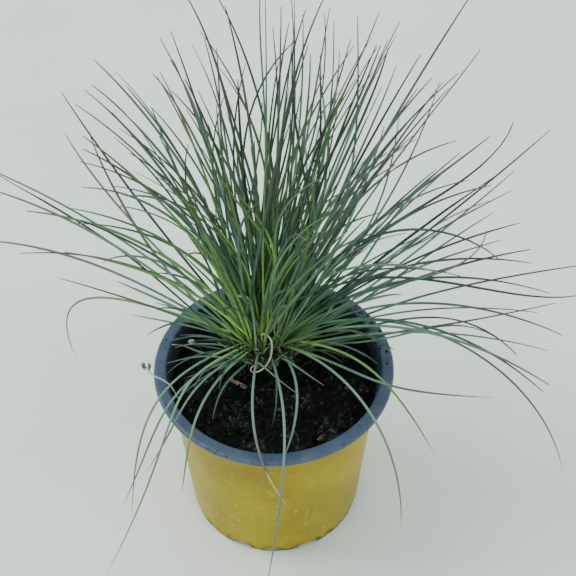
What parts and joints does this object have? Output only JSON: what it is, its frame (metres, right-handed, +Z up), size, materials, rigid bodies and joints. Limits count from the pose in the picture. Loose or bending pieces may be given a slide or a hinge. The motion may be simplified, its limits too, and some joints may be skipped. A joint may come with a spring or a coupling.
{
  "type": "potted blue fescue clump",
  "caption": "Tufted ornamental grass with fine blue-green leaves, growing in peat in a tapered round nursery pot with a flat lip and drain notches.",
  "frame": {"origin": "centre of the underside of the pot's foot, on the surface that the pot stands on", "axes": "+Z up along the pot's axis, -Y towards the front, where the mix shows and the fewest leaves grow, +X to the right"},
  "size_m": [0.263, 0.2238, 0.2364],
  "materials": {
    "pot_plastic": "thin moulded plastic, mustard yellow outside and slate blue on the lip and inside, scuffed",
    "peat_mix": "moist dark peat with fibres and grit",
    "leaf_sheath": "dry papery leaf sheaths",
    "fescue_leaf": "waxy blue-green needle leaf, dull",
    "dry_leaf": "withered straw-coloured leaf",
    "weed_leaf": "soft green seedling leaf",
    "bark": "split bark and wood chip, rough",
    "perlite": "chalky expanded mineral grain"
  },
  "bodies": {
    "root": {"pot": "pot_plastic", "potting_mix": "peat_mix", "crown": "leaf_sheath", "bark_chip_1": "bark", "bark_chip_2": "bark", "dry_curled_leaf": "dry_leaf", "front_leaf_1": "fescue_leaf", "front_leaf_2": "fescue_leaf", "front_leaf_3": "fescue_leaf", "front_leaf_4": "fescue_leaf", "front_leaf_5": "fescue_leaf", "front_leaf_6": "fescue_leaf", "heart_tuft": "fescue_leaf", "inner_tuft_1": "fescue_leaf", "inner_tuft_2": "fescue_leaf", "inner_tuft_3": "fescue_leaf", "inner_tuft_4": "fescue_leaf", "inner_tuft_5": "fescue_leaf", "inner_tuft_6": "fescue_leaf", "left_leaf_1": "fescue_leaf", "left_leaf_2": "fescue_leaf", "left_leaf_3": "fescue_leaf", "left_leaf_4": "fescue_leaf", "left_leaf_5": "fescue_leaf", "left_leaf_6": "fescue_leaf", "left_leaf_7": "fescue_leaf", "left_skirt_tuft_1": "fescue_leaf", "left_skirt_tuft_2": "fescue_leaf", "left_skirt_tuft_3": "fescue_leaf", "middle_tuft_1": "fescue_leaf", "middle_tuft_2": "fescue_leaf", "middle_tuft_3": "fescue_leaf", "middle_tuft_4": "fescue_leaf", "middle_tuft_5": "fescue_leaf", "middle_tuft_6": "fescue_leaf", "middle_tuft_7": "fescue_leaf", "middle_tuft_8": "fescue_leaf", "middle_tuft_9": "fescue_leaf", "middle_tuft_10": "fescue_leaf", "outer_tuft_1": "fescue_leaf", "outer_tuft_2": "fescue_leaf", "outer_tuft_3": "fescue_leaf", "outer_tuft_4": "fescue_leaf", "outer_tuft_5": "fescue_leaf", "outer_tuft_6": "fescue_leaf", "outer_tuft_7": "fescue_leaf", "outer_tuft_8": "fescue_leaf", "outer_tuft_9": "fescue_leaf", "outer_tuft_10": "fescue_leaf", "outer_tuft_11": "fescue_leaf", "outer_tuft_12": "fescue_leaf", "perlite_grain": "perlite", "right_leaf_1": "fescue_leaf", "right_skirt_tuft_1": "fescue_leaf", "right_skirt_tuft_2": "fescue_leaf", "right_skirt_tuft_3": "fescue_leaf", "right_skirt_tuft_4": "fescue_leaf", "right_skirt_tuft_5": "fescue_leaf", "weed_seedling": "weed_leaf"}
  },
  "joints": []
}
